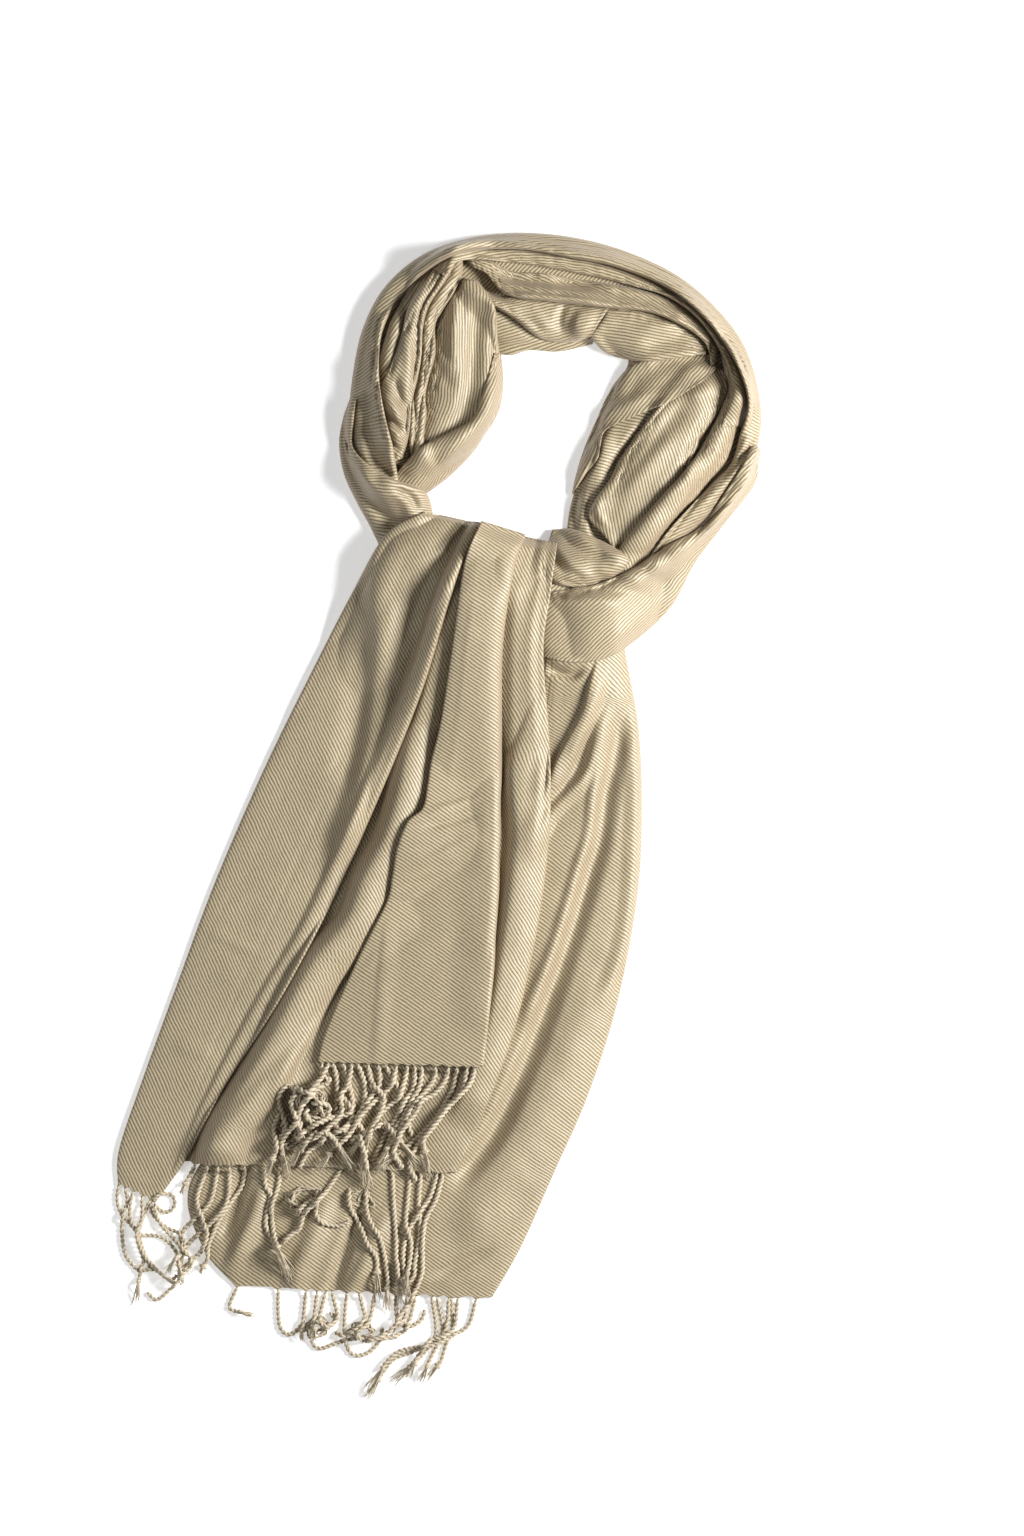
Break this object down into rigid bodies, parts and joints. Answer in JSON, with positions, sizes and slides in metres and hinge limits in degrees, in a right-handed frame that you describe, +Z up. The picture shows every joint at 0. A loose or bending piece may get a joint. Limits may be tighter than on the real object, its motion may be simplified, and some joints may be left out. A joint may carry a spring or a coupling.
{
  "type": "pashmina shawl",
  "caption": "Oblong twill shawl with twisted fringe, tied in a loop with both ends hanging together, laid flat.",
  "frame": {"origin": "the middle of the base of the laid shawl's box, on the surface it lies on", "axes": "+Z up from the surface, +Y from the hanging ends towards the top of the loop, +X to the right seen from above"},
  "size_m": [0.515, 0.9386, 0.0538],
  "materials": {
    "twill": "soft satin sheen on a fine diagonal rib",
    "hidden_plies": "matte",
    "twisted_fringe": "twisted two-ply yarn, frayed tips"
  },
  "bodies": {
    "root": {"back_fringe": "twisted_fringe", "back_tail": "twill", "cross_band": "twill", "cross_tuft": "twill", "front_left_fringe": "twisted_fringe", "front_left_panel": "twill", "front_top_fringe": "twisted_fringe", "front_top_ply": "twill", "front_under_fringe": "twisted_fringe", "front_under_ply": "twill", "knot_core": "hidden_plies", "loop_core": "hidden_plies", "loop_inner_left": "twill", "loop_inner_neck": "twill", "loop_inner_top": "twill", "loop_left_pleat": "twill", "loop_left_seam": "twill", "loop_left_thin_fold": "twill", "loop_left_trough": "twill", "loop_low_strip": "twill", "loop_outer_roll": "twill", "loop_pinch": "twill", "loop_right_flap": "twill", "loop_right_panel": "twill", "loop_right_ridge": "twill", "loop_second_roll": "twill", "loop_third_roll": "twill", "lower_left_wrap": "twill"}
  },
  "joints": []
}
